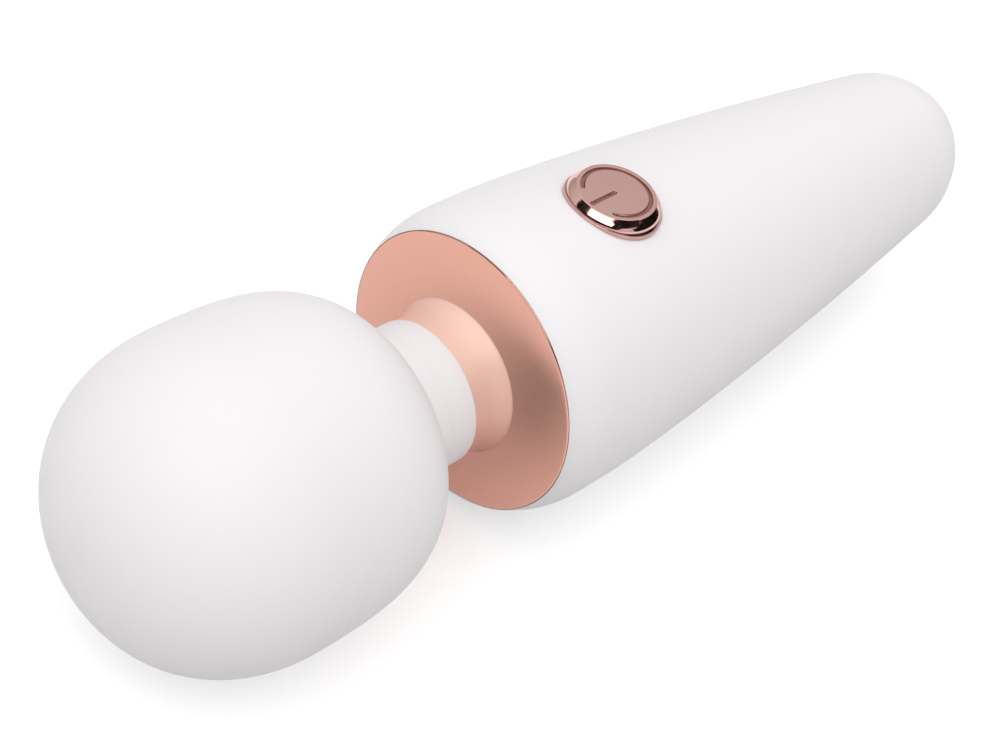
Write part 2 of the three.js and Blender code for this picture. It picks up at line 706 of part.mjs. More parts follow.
// ---- Charging pad in the tail -------------------------------------------------------------------
function chargingPad() {
  const plugFront = TAIL_X + 9.5;
  const plug = solid(rod(TAIL_X, plugFront, PAD_R, CASING_SIDES));
  const flange = rod(TAIL_X + 7.6, plugFront, 6.4, CASING_SIDES);
  const slim = (x0, x1, r, y, z) => rod(x0, x1, r, SMALL_SIDES).translate(0, y, z);
  const pins = [PIN_Y, -PIN_Y].map((y) => slim(TAIL_X - 1, plugFront + 1, 1.05, y, 0));
  const pockets = [MAGNET_Z, -MAGNET_Z].map((z) => slim(TAIL_X + 1.2, plugFront + 1, 1.65, 0, z));
  add("tail_plug", cut(plug, ...pins, ...pockets), DARK_PLASTIC);
  for (const [side, y] of [["left", PIN_Y], ["right", -PIN_Y]])
    add(`charge_contact_${side}`, slim(TAIL_X + 0.15, plugFront + 0.8, 0.85, y, 0), GOLD);
  for (const [place, z] of [["upper", MAGNET_Z], ["lower", -MAGNET_Z]])
    add(`dock_magnet_${place}`, slim(TAIL_X + 1.5, TAIL_X + 5.5, 1.45, 0, z), MAGNET);
  for (const [colour, side, material] of [["red", 1, RED_LEAD], ["black", -1, BLACK_LEAD]])
    lead(`charge_lead_${colour}`, [
      [plugFront + 1.5, side * PIN_Y, 0],
      [plugFront + 4.5, side * PIN_Y, 0.8],
      [-60, side * 1.6, 3.6],
      [-50, side * 2.4, 5.6],
      [-43, side * 3, 7.2],
      [BOARD.back - 0.9, side * 3, BOARD.z],
    ], material);
}

handleCasings();
neck();
head();
motor();
button();
electronics();
battery();
motorLeads();
chargingPad();

export default wand;
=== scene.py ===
"""The looks of a cordless wand massager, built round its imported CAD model.

Everything is in the CAD's frame. The wand's own axis runs along +X at AXIS_Z, its button faces +Z,
and it lies on z = 0. Outlines are lists of (station, radius) in millimetres about that axis.
"""
import json
import math

import bmesh
import bpy
from mathutils import Euler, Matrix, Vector


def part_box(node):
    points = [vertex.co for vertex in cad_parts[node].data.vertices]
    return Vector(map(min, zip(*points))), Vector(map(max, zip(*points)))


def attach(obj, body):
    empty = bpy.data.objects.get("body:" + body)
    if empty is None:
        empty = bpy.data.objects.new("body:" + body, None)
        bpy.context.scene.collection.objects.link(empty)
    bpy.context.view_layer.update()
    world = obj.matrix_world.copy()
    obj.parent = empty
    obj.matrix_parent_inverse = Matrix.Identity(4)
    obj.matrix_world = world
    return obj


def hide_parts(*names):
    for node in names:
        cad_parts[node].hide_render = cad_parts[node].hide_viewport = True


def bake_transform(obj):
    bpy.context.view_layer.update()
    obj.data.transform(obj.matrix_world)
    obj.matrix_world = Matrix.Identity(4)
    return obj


MM = 0.001
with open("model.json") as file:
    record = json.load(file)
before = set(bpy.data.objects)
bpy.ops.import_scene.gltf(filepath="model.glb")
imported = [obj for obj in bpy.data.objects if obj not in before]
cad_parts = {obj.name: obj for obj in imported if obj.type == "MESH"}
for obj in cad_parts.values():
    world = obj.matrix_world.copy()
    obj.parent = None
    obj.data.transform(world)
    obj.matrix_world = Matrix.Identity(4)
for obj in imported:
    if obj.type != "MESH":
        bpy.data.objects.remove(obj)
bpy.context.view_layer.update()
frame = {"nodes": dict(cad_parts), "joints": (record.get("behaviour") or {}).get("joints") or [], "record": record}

# ---- Places, from the CAD ------------------------------------------------------------------------
FACETS = 24  # sides of the CAD's turned casings: a box shows the flats, not the corners
FLAT = math.cos(math.pi / FACETS)


def box(node):
    """A node's lowest and highest corners, in millimetres."""
    low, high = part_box(node)
    return Vector(low) / MM, Vector(high) / MM


HEAD_LOW, HEAD_HIGH = box("head_skin")
SKIN_LOW, SKIN_HIGH = box("handle_skin")
RING_HIGH = box("neck_ring")[1]
SLEEVE_LOW = box("neck_sleeve")[0]
COLLAR_HIGH = box("collar")[1]
BEZEL_LOW, BEZEL_HIGH = box("button_bezel")
CAP_LOW, CAP_HIGH = box("button_cap")
PLUG_LOW, PLUG_HIGH = box("tail_plug")

AXIS_Z = (PLUG_LOW.z + PLUG_HIGH.z) / 2
PITCH = next(joint for joint in frame["joints"] if joint["name"] == "neck_pitch")
PIVOT_X = PITCH["pos_m"][0] / MM

HEAD_R = (HEAD_HIGH.y - HEAD_LOW.y) / 2 / FLAT
HEAD_FRONT = 1.017 * HEAD_R  # widest station to tip
HEAD_BACK = 1.087 * HEAD_R  # widest station to where the back would close
HEAD_X = HEAD_HIGH.x - HEAD_FRONT
HEAD_FRONT_POWER = 2.2
HEAD_BACK_POWER = 3.12
HEAD_SKIN = 2.4  # thickness of the silicone

HANDLE_R = (SKIN_HIGH.y - SKIN_LOW.y) / 2 / FLAT
TAIL_X = PLUG_LOW.x
WIDEST_X = HEAD_X - 2.35 * HEAD_R  # the taper starts here
TAPER = 0.443 * HANDLE_R
TAPER_POWER = 1.36
TAIL_LENGTH = 0.717 * HANDLE_R
TAIL_START_X = TAIL_X + 0.62 * HANDLE_R
TAIL_POWER = 1.85
SKIN = 1.5  # thickness of the silicone

LIP_X = SKIN_HIGH.x
LIP_LENGTH = 7.0
LIP_POWER = 2.2

NECK_R = 9.5
NECK_BORE_R = 7.0
THROAT_R = 8.3  # the neck where it passes through the ring
RING_FRONT_X = RING_HIGH.x
RING_FRONT_R = 9.1
RING_FOOT_R = 10.35
COLLAR_HOLE = 9.7
RIM_R = 18.72
RIM_X = LIP_X + 0.08
RIM_ROUND = 0.22
DOME = 0.6  # how far the face rises from the rim in to the hole
DOME_POWER = 2.2

BUTTON_X = (BEZEL_LOW.x + BEZEL_HIGH.x) / 2
BEZEL_R = (BEZEL_HIGH.x - BEZEL_LOW.x) / 2 + 0.2
SKIRT_R = (CAP_HIGH.x - CAP_LOW.x) / 2
CAP_R = SKIRT_R + 0.55
CAP_TOP = CAP_HIGH.z - AXIS_Z
PLUG_R = 5.0

ROUND = 144  # segments of the large turned pieces
ARC = 0.55  # a bezier's handles, as a share of the radius, where it stands for a quarter circle


# ---- Materials -----------------------------------------------------------------------------------
def new_material(name, colour, roughness, metallic=0.0, **sockets):
    """A Principled material with its constant values set on the shader's own sockets."""
    made = bpy.data.materials.new(name)
    made.use_nodes = True
    shader = made.node_tree.nodes["Principled BSDF"]
    shader.inputs["Base Color"].default_value = (*colour, 1)
    shader.inputs["Roughness"].default_value = roughness
    shader.inputs["Metallic"].default_value = metallic
    for socket, value in sockets.items():
        shader.inputs[socket.replace("_", " ")].default_value = value
    return made


def add_node(material, kind, **settings):
    node = material.node_tree.nodes.new(kind)
    for name, value in settings.items():
        setattr(node, name, value)
    return node


def link(material, source, target):
    material.node_tree.links.new(source, target)


def placed(material, stretch=(1, 1, 1)):
    """The object's own coordinates, in metres, stretched along each axis."""
    coordinates = add_node(material, "ShaderNodeTexCoord")
    mapping = add_node(material, "ShaderNodeMapping")
    mapping.inputs["Scale"].default_value = stretch
    link(material, coordinates.outputs["Object"], mapping.inputs["Vector"])
    return mapping.outputs["Vector"]


def noise(material, size_mm, stretch=(1, 1, 1), detail=3.0, roughness=0.55):
    """Noise whose features are about size_mm across."""
    texture = add_node(material, "ShaderNodeTexNoise")
    texture.inputs["Scale"].default_value = 1 / (size_mm * MM)
    texture.inputs["Detail"].default_value = detail
    texture.inputs["Roughness"].default_value = roughness
    link(material, placed(material, stretch), texture.inputs["Vector"])
    return texture.outputs["Fac"]


def ranged(material, value, low, high, start=0.35, end=0.65):
    """Remaps a 0 to 1 value, taking start..end to low..high."""
    node = add_node(material, "ShaderNodeMapRange")
    node.inputs["From Min"].default_value = start
    node.inputs["From Max"].default_value = end
    node.inputs["To Min"].default_value = low
    node.inputs["To Max"].default_value = high
    link(material, value, node.inputs["Value"])
    return node.outputs["Result"]


def mixed_colour(material, factor, first, second):
    node = add_node(material, "ShaderNodeMix", data_type="RGBA")
    node.inputs["A"].default_value = (*first, 1)
    node.inputs["B"].default_value = (*second, 1)
    link(material, factor, node.inputs["Factor"])
    return node.outputs["Result"]


def shader_of(material):
    return material.node_tree.nodes["Principled BSDF"]


def vary_colour(material, factor, first, second):
    link(material, mixed_colour(material, factor, first, second), shader_of(material).inputs["Base Color"])


def vary_roughness(material, factor, low, high):
    link(material, ranged(material, factor, low, high), shader_of(material).inputs["Roughness"])


def bump(material, height, depth_mm, strength=1.0):
    """Adds a bump on top of any the material already has."""
    node = add_node(material, "ShaderNodeBump")
    node.inputs["Distance"].default_value = depth_mm * MM
    node.inputs["Strength"].default_value = strength
    link(material, height, node.inputs["Height"])
    normal = shader_of(material).inputs["Normal"]
    if normal.links:
        link(material, normal.links[0].from_socket, node.inputs["Normal"])
    link(material, node.outputs["Normal"], normal)


def soft_silicone():
    """Soft-touch liquid silicone: matte, faintly velvety, with the mould's fine spark-erosion grain."""
    colour = (0.86, 0.845, 0.855)
    made = new_material(
        "soft_silicone", colour, 0.56, Specular_IOR_Level=0.36, Sheen_Weight=0.12, Sheen_Roughness=0.45,
        Subsurface_Weight=0.08, Subsurface_Scale=0.002,
    )
    shader_of(made).inputs["Subsurface Radius"].default_value = (1.0, 0.75, 0.7)
    tint = noise(made, 14.0, detail=2.0)
    warmer = tuple(c * k for c, k in zip(colour, (1.008, 0.998, 0.996)))
    vary_colour(made, tint, colour, warmer)
    vary_roughness(made, noise(made, 6.0), 0.52, 0.6)
    bump(made, noise(made, 0.16, detail=2.0), 0.006, 0.5)
    return made


def rose_gold_mirror():
    """Vacuum-plated rose gold: nearly a mirror, with the faint waviness of a moulded, plated plate."""
    made = new_material("rose_gold_mirror", (0.62, 0.325, 0.255), 0.04, 1.0)
    vary_colour(made, noise(made, 9.0), (0.61, 0.32, 0.25), (0.63, 0.332, 0.262))
    vary_roughness(made, noise(made, 2.5, detail=4.0), 0.03, 0.055)
    bump(made, noise(made, 7.0, detail=1.0), 0.004, 0.35)
    return made


def rose_gold_satin_painted_shade():
    """Bead-blasted rose gold with fine turned lines running round the ring, and painted shade: its colour darkens
    towards the ring's underside and lightens towards its top.
    """
    made = new_material("rose_gold_satin_painted_shade", (0.95, 0.52, 0.41), 0.46, 0.15)
    coordinates = add_node(made, "ShaderNodeTexCoord")
    split = add_node(made, "ShaderNodeSeparateXYZ")
    link(made, coordinates.outputs["Object"], split.inputs["Vector"])
    # painted shade and light: the colour runs from dark at the bottom to bright at the top, standing in for how
    # the light falls on the ring
    height = ranged(made, split.outputs["Z"], 0.0, 1.0, (AXIS_Z - 7) * MM, (AXIS_Z + 11) * MM)
    vary_colour(made, height, (0.56, 0.235, 0.175), (1.0, 0.70, 0.585))
    vary_roughness(made, noise(made, 0.9), 0.38, 0.46)
    bump(made, noise(made, 0.12, stretch=(1.0, 0.12, 0.12), detail=2.0), 0.004, 0.5)
    bump(made, noise(made, 0.09, detail=1.0), 0.003, 0.5)
    return made


def rose_gold_button():
    """The button's plating: glossy, a little warmer and worn slightly softer by fingertips."""
    made = new_material("rose_gold_button", (0.64, 0.40, 0.365), 0.08, 1.0)
    vary_colour(made, noise(made, 4.0), (0.63, 0.39, 0.355), (0.655, 0.41, 0.375))
    vary_roughness(made, noise(made, 1.2, detail=4.0), 0.07, 0.14)
    bump(made, noise(made, 0.15, detail=2.0), 0.0015, 0.4)
    return made


def rose_gold_engraved_painted_shade():
    """The floor of the engraved mark: the same plating, duller than the polished top, and darker with painted
    shade in the groove.
    """
    # painted shade: the groove's colour is darkened as if shade filled the recess
    made = new_material("rose_gold_engraved_painted_shade", (0.34, 0.18, 0.155), 0.35, 1.0)
    vary_colour(made, noise(made, 0.8), (0.30, 0.155, 0.135), (0.38, 0.205, 0.175))
    vary_roughness(made, noise(made, 0.4), 0.3, 0.45)
    bump(made, noise(made, 0.1, detail=2.0), 0.003, 0.5)
    return made


def moulded_plastic(name, colour, roughness=0.45, grain_mm=0.25):
    """Injection-moulded plastic with an eroded grain and faint flow marks."""
    made = new_material(name, colour, roughness, Specular_IOR_Level=0.5)
    darker = tuple(c * 0.93 for c in colour)
    vary_colour(made, noise(made, 11.0, stretch=(0.3, 1, 1)), colour, darker)
    vary_roughness(made, noise(made, 3.0), roughness - 0.06, roughness + 0.06)
    bump(made, noise(made, grain_mm, detail=2.0), 0.01, 0.6)
    return made


def rubber(name, colour):
    """Plain moulded rubber: dull, with a fine open grain."""
    made = new_material(name, colour, 0.8, Specular_IOR_Level=0.3, Sheen_Weight=0.1)
    vary_colour(made, noise(made, 4.0), colour, tuple(c * 1.35 for c in colour))
    vary_roughness(made, noise(made, 0.8), 0.7, 0.9)
    bump(made, noise(made, 0.3), 0.02, 0.7)
    return made


def turned_metal(name, colour, roughness=0.3, line_mm=0.15):
    """Metal with fine tool lines round the wand's axis and a little tarnish."""
    made = new_material(name, colour, roughness, 1.0)
    vary_colour(made, noise(made, 2.5), colour, tuple(c * 0.84 for c in colour))
    vary_roughness(made, noise(made, 1.0, detail=4.0), roughness - 0.08, roughness + 0.08)
    bump(made, noise(made, line_mm, stretch=(1.0, 0.06, 0.06), detail=2.0), 0.006, 0.6)
    return made


def wound_copper():
    """Enamelled copper laminations: close turns of wire under clear varnish."""
    made = new_material("wound_copper", (0.72, 0.33, 0.16), 0.28, 1.0, Coat_Weight=0.6, Coat_Roughness=0.12)
    turns = add_node(made, "ShaderNodeTexWave", wave_type="BANDS", bands_direction="X")
    turns.inputs["Scale"].default_value = 1 / (1.4 * MM)
    turns.inputs["Distortion"].default_value = 0.6
    link(made, placed(made), turns.inputs["Vector"])
    vary_colour(made, turns.outputs["Fac"], (0.45, 0.19, 0.09), (0.80, 0.40, 0.20))
    bump(made, turns.outputs["Fac"], 0.12, 0.8)
    return made


def circuit_board():
    """Green solder mask over copper tracks, with plated vias."""
    made = new_material("circuit_board", (0.02, 0.16, 0.07), 0.32, Coat_Weight=0.4, Coat_Roughness=0.15)
    tracks = add_node(made, "ShaderNodeTexBrick", offset=0.5, squash=0.6, squash_frequency=3)
    tracks.inputs["Scale"].default_value = 1 / (6 * MM)
    tracks.inputs["Mortar Size"].default_value = 0.035
    tracks.inputs["Color1"].default_value = (0.012, 0.12, 0.055, 1)
    tracks.inputs["Color2"].default_value = (0.018, 0.15, 0.07, 1)
    tracks.inputs["Mortar"].default_value = (0.05, 0.30, 0.12, 1)
    link(made, placed(made), tracks.inputs["Vector"])
    vias = add_node(made, "ShaderNodeTexVoronoi")
    vias.inputs["Scale"].default_value = 1 / (2.6 * MM)
    link(made, placed(made), vias.inputs["Vector"])
    ring = ranged(made, vias.outputs["Distance"], 1.0, 0.0, 0.14, 0.18)
    both = add_node(made, "ShaderNodeMix", data_type="RGBA")
    both.inputs["B"].default_value = (0.75, 0.55, 0.22, 1)
    link(made, ring, both.inputs["Factor"])
    link(made, tracks.outputs["Color"], both.inputs["A"])
    link(made, both.outputs["Result"], shader_of(made).inputs["Base Color"])
    bump(made, tracks.outputs["Fac"], 0.03, 0.6)
    return made


def shrink_wrap():
    """Blue heat-shrunk sleeve, glossy and slightly wrinkled over the cell."""
    made = new_material("shrink_wrap", (0.03, 0.14, 0.36), 0.28, Coat_Weight=0.5, Coat_Roughness=0.08)
    vary_colour(made, noise(made, 8.0), (0.028, 0.13, 0.34), (0.04, 0.17, 0.42))
    bump(made, noise(made, 2.2, stretch=(0.35, 1, 1), detail=2.0), 0.08, 0.5)
    bump(made, noise(made, 0.4), 0.01, 0.5)
    return made


def open_foam():
    """Open-celled foam."""
    made = new_material("open_foam", (0.62, 0.62, 0.6), 0.95, Sheen_Weight=0.2)
    cells = add_node(made, "ShaderNodeTexVoronoi")
    cells.inputs["Scale"].default_value = 1 / (0.45 * MM)
    link(made, placed(made), cells.inputs["Vector"])
    vary_colour(made, cells.outputs["Distance"], (0.42, 0.42, 0.41), (0.72, 0.72, 0.7))
    bump(made, cells.outputs["Distance"], 0.12, 0.9)
    return made


def lead_jacket(name, colour):
    """Soft PVC lead: satin, with slight unevenness along its length."""
    made = new_material(name, colour, 0.38, Specular_IOR_Level=0.5, Coat_Weight=0.15, Coat_Roughness=0.3)
    vary_colour(made, noise(made, 2.0), colour, tuple(c * 0.8 for c in colour))
    vary_roughness(made, noise(made, 0.7), 0.32, 0.46)
    bump(made, noise(made, 0.5), 0.01, 0.5)
    return made


SILICONE = soft_silicone()
MIRROR = rose_gold_mirror()
SATIN = rose_gold_satin_painted_shade()
BUTTON = rose_gold_button()
ENGRAVED = rose_gold_engraved_painted_shade()
CASING = moulded_plastic("casing_plastic", (0.78, 0.77, 0.75))
DARK = moulded_plastic("dark_plastic", (0.035, 0.036, 0.04), 0.4, 0.2)
PLUG = moulded_plastic("plug_plastic", (0.70, 0.69, 0.69), 0.5, 0.18)
RUBBER = rubber("black_rubber", (0.03, 0.03, 0.032))
STEEL = turned_metal("turned_steel", (0.58, 0.59, 0.6))
NICKEL = turned_metal("nickel_plating", (0.66, 0.63, 0.58), 0.18, 0.3)
GOLD = turned_metal("gold_plating", (0.95, 0.68, 0.30), 0.16, 0.1)
BRONZE = turned_metal("sintered_bronze", (0.60, 0.38, 0.20), 0.42, 0.2)
COPPER = wound_copper()
BOARD = circuit_board()
WRAP = shrink_wrap()
FOAM = open_foam()
RED_LEAD = lead_jacket("red_lead", (0.45, 0.015, 0.012))
BLACK_LEAD = lead_jacket("black_lead", (0.012, 0.012, 0.013))

BY_SLOT = {
    "silicone": SILICONE,
    "rose_gold": MIRROR,
    "casing": CASING,
    "rubber": RUBBER,
    "dark_plastic": DARK,
    "steel": STEEL,
    "magnet": NICKEL,
    "copper": BRONZE,
    "gold": GOLD,
    "board": BOARD,
    "can": STEEL,
    "wrap": WRAP,
    "foam": FOAM,
    "lead_red": RED_LEAD,
    "lead_black": BLACK_LEAD,
}
BY_NODE = {"motor_armature": COPPER, "neck_ring": SATIN}


def finish_cad_nodes():
    """Gives every carried-over CAD node its detailed material."""
    slots = {part["node"]: part["material_slot"] for part in frame["record"]["subparts"]}
    for name, node in frame["nodes"].items():
        wanted = BY_NODE.get(name, BY_SLOT[slots[name]])
        node.data.materials.clear()
        node.data.materials.append(wanted)


# ---- Meshes --------------------------------------------------------------------------------------
SHARP_ANGLE = math.radians(42)


def new_object(name, mesh, material):
    """Turns a bmesh into an object with one material, smooth but for its sharp edges."""
    bmesh.ops.recalc_face_normals(mesh, faces=mesh.faces)
    data = bpy.data.meshes.new(name)
    mesh.to_mesh(data)
    mesh.free()
    data.set_sharp_from_angle(angle=SHARP_ANGLE)
    data.materials.append(material)
    made = bpy.data.objects.new(name, data)
    bpy.context.scene.collection.objects.link(made)
    return made


def about_axis(x, radius, turn):
    """The point at a station and radius, turned from +Z towards +Y."""
    return Vector((x, radius * math.sin(turn), AXIS_Z + radius * math.cos(turn))) * MM


def bridge(mesh, first, second):
    """Faces between two rings of vertices. A ring of one vertex is a pole."""
    count = max(len(first), len(second))
    for i in range(count):
        j = (i + 1) % count
        if len(first) == 1:
            mesh.faces.new((first[0], second[i], second[j]))
        elif len(second) == 1:
            mesh.faces.new((first[i], first[j], second[0]))
        else:
            mesh.faces.new((first[i], first[j], second[j], second[i]))


def turned(name, outline, material, closed=False, segments=ROUND):
    """A surface of revolution about the wand's axis. Points at radius 0 are poles."""
    mesh = bmesh.new()
    rings = []
    for x, radius in outline:
        turns = [0.0] if radius == 0 else [math.tau * i / segments for i in range(segments)]
        rings.append([mesh.verts.new(about_axis(x, radius, turn)) for turn in turns])
    for first, second in zip(rings, rings[1:]):
        bridge(mesh, first, second)
    if closed:
        bridge(mesh, rings[-1], rings[0])
    return new_object(name, mesh, material)


def rounded(corners):
    """An outline through (x, r, fillet) corners, with an arc of that radius at each."""
    steps = 6
    points = []
    last = len(corners) - 1
    for i, (x, r, fillet) in enumerate(corners):
        here = Vector((x, r))
        if fillet == 0 or i in (0, last):
            points.append((x, r))
            continue
        to_back = (Vector(corners[i - 1][:2]) - here).normalized()
        to_next = (Vector(corners[i + 1][:2]) - here).normalized()
        half = to_back.angle(to_next) / 2
        centre = here + (to_back + to_next).normalized() * fillet / math.sin(half)
        start = here + to_back * fillet / math.tan(half) - centre
        swing = start.angle_signed(here + to_next * fillet / math.tan(half) - centre)
        for step in range(steps + 1):
            angle = -swing * step / steps
            turned_arm = Vector((
                start.x * math.cos(angle) - start.y * math.sin(angle),
                start.x * math.sin(angle) + start.y * math.cos(angle),
            ))
            points.append(tuple(centre + turned_arm))
    return points


def bezier(a, b, c, d, steps):
    """Points along a cubic from a to d, without a itself."""
    points = []
    for i in range(1, steps + 1):
        t = i / steps
        u = 1 - t
        weights = (u**3, 3 * u * u * t, 3 * u * t * t, t**3)
        points.append(tuple(sum(w * p[k] for w, p in zip(weights, (a, b, c, d))) for k in (0, 1)))
    return points


def superellipse(u, power):
    """The height of a superellipse, 1 at u = 0 and 0 at u = 1."""
    return max(0.0, 1 - min(1.0, abs(u)) ** power) ** (1 / power)


# ---- Head and neck -------------------------------------------------------------------------------
BUTT = 0.0004  # half the joint between the neck's two halves
SUPPORT = 0.04  # a narrow last row keeps the shading flat up to an edge
HEAD_FOOT_R = 11.6  # where the fillet into the neck leaves the head
HEAD_FILLET = 2.3  # its length along the axis
HEAD_HOLLOW_R = 8.2  # the head's hollow where it meets the neck's bore
HEAD_BEND = 3.2  # how far in front of the pivot the silicone still bends


def egg(inset, back_radius, steps=40):
    """The head's outline from its tip back to where it has narrowed to back_radius."""
    radius = HEAD_R - inset
    points = []
    for i in range(steps + 1):
        turn = math.pi / 2 * i / steps
        x = HEAD_X + (HEAD_FRONT - inset) * math.cos(turn) ** (2 / HEAD_FRONT_POWER)
        points.append((x, radius * math.sin(turn) ** (2 / HEAD_FRONT_POWER)))
    points[0] = (HEAD_HIGH.x - inset, 0)
    last = math.asin((back_radius / radius) ** (HEAD_BACK_POWER / 2))
    for i in range(1, steps + 1):
        turn = math.pi / 2 + (math.pi / 2 - last) * i / steps
        x = HEAD_X - (HEAD_BACK - inset) * abs(math.cos(turn)) ** (2 / HEAD_BACK_POWER)
        points.append((x, radius * math.sin(turn) ** (2 / HEAD_BACK_POWER)))
    return points


def head_skin():
    """The head's silicone, which flows through a fillet into the front half of the neck."""
    outer = egg(0, HEAD_FOOT_R)
    before, start = Vector(outer[-2]), Vector(outer[-1])
    along = (start - before).normalized()
    foot_x = start.x - HEAD_FILLET
    fillet = bezier(start, start + along * 1.5, (foot_x + 1.3, NECK_R), (foot_x, NECK_R), 12)
    back_x = PIVOT_X + BUTT
    rest = [(foot_x + (back_x + SUPPORT - foot_x) * i / 4, NECK_R) for i in range(1, 5)]
    bore_x = PIVOT_X + HEAD_BEND + 0.4
    bore = [(back_x, NECK_R), (back_x, NECK_R - SUPPORT), (back_x, NECK_BORE_R), (bore_x, NECK_BORE_R)]
    inner = list(reversed(egg(HEAD_SKIN, HEAD_HOLLOW_R, 20)))
    piece = turned("head_cover", outer + fillet + rest + bore + inner, SILICONE)
    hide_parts("head_skin")
    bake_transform(piece)


def neck_cover():
    """The rear half of the neck's silicone: its shoulder in front of the ring, then the bend."""
    front_x = PIVOT_X - BUTT
    back_x = SLEEVE_LOW.x + 2
    shoulder = rounded([
        (RING_FRONT_X + 0.06, THROAT_R, 0),
        (RING_FRONT_X + 0.06, NECK_R, 0.38),
        (front_x, NECK_R, 0),
    ])[:-1]
    start_x = shoulder[-1][0]
    rest = [(start_x + (front_x - SUPPORT - start_x) * i / 5, NECK_R) for i in range(1, 6)]
    end = [(front_x, NECK_R), (front_x, NECK_R - SUPPORT), (front_x, NECK_BORE_R)]
    outline = [(back_x, THROAT_R), *shoulder, *rest, *end, (back_x, NECK_BORE_R)]
    piece = turned("neck_cover", outline, SILICONE, closed=True)
    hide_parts("neck_sleeve")
    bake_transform(piece)


def neck_ring():
    """The satin ring round the neck: a hollow cone that flares to a thin foot on the collar."""
    base_x = collar_face(RING_FOOT_R) + 0.04
    edge = (base_x + 0.28, RING_FOOT_R - 0.04)
    front = (RING_FRONT_X - 0.12, RING_FRONT_R)
    foot = bezier((base_x, RING_FOOT_R - 0.3), (base_x, RING_FOOT_R - 0.02),
                  (base_x + 0.06, RING_FOOT_R + 0.02), edge, 6)
    side = bezier(edge, (base_x + 1.5, RING_FOOT_R - 0.62), (RING_FRONT_X - 2.6, RING_FRONT_R), front, 16)
    nose = bezier(front, (RING_FRONT_X, RING_FRONT_R), (RING_FRONT_X, RING_FRONT_R - 0.04),
                  (RING_FRONT_X, RING_FRONT_R - 0.15), 4)
    bore_r = THROAT_R + 0.12
    bore = [(RING_FRONT_X, bore_r), (base_x, bore_r)]
    piece = turned("satin_ring", foot + side + nose + bore, SATIN, closed=True)
    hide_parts("neck_ring")
    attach(piece, "handle")


# ---- Collar --------------------------------------------------------------------------------------
def collar_face(radius):
    """The station of the collar's mirror face at a radius: a low dome."""
    out = max(0.0, radius - COLLAR_HOLE) / (RIM_R - COLLAR_HOLE)
    return RIM_X + DOME * (1 - out**DOME_POWER)


def collar():
    """The mirror plate: its domed face, a small rounded rim and a flat back."""
    steps = 28
    face_r = RIM_R - RIM_ROUND
    radii = [COLLAR_HOLE + (face_r - COLLAR_HOLE) * i / steps for i in range(steps + 1)]
    face = [(collar_face(radius), radius) for radius in radii]
    slope = Vector(face[-1]) - Vector(face[-2])
    lead = Vector(face[-1]) + slope.normalized() * RIM_ROUND * ARC
    edge = (face[-1][0] - RIM_ROUND, RIM_R)
    rim = bezier(face[-1], lead, (edge[0] + RIM_ROUND * ARC, edge[1]), edge, 10)
    thickness = 1.0
    back_x = edge[0] - thickness
    back = [(back_x, RIM_R), (back_x, COLLAR_HOLE)]
    piece = turned("mirror_collar", face + rim + back, MIRROR, closed=True)
    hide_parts("collar")
    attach(piece, "handle")


# ---- Handle --------------------------------------------------------------------------------------
CROWDING = 1.3  # a power above 1 crowds rows towards the edge of the lip or hole
PATCH_REACH = 12.0  # from the button's centre to the border of the patch that holds its hole
ROW_STEP = 1.0
FULL_WALL = 4.0  # how far behind the lip the skin has its whole thickness
LEAST_WALL = 0.03  # the thickness at the lip, as a share of the whole
HOLE_R = BEZEL_R - 0.25  # the bezel covers the hole's edge


def handle_radius(x):
    """The handle's radius at a station: a taper that a superellipse closes at the tail."""
    along = max(0.0, WIDEST_X - x) / (WIDEST_X - TAIL_X)
    closing = max(0.0, TAIL_START_X - x) / TAIL_LENGTH
    return (HANDLE_R - TAPER * along**TAPER_POWER) * superellipse(closing, TAIL_POWER)


def lip_outline():
    """The rounded front edge of the handle's skin, from the seam out to the full radius."""
    steps = 18
    seam_r = RIM_R + 0.03
    inner = [(LIP_X - 0.7, seam_r), (LIP_X - 0.12, seam_r), (LIP_X - 0.03, seam_r + 0.03)]
    edge_r = seam_r + 0.11
    drop = HANDLE_R - edge_r
    curve = []
    for i in range(steps + 1):
        back = (i / steps) ** CROWDING
        curve.append((LIP_X - LIP_LENGTH * back, HANDLE_R - drop * (1 - back) ** LIP_POWER))
    return inner + curve


def tail_outline():
    """From where the tail starts to close, round to the edge of the charging plug."""
    steps = 26
    points = []
    for i in range(1, steps + 1):
        turn = math.sin(math.pi / 2 * i / steps) ** (2 / TAIL_POWER)
        x = TAIL_START_X - TAIL_LENGTH * turn
        if handle_radius(x) <= PLUG_R + 0.1 or x < TAIL_X:
            break
        points.append((x, handle_radius(x)))
    return points + [(TAIL_X + 0.05, PLUG_R + 0.12)]


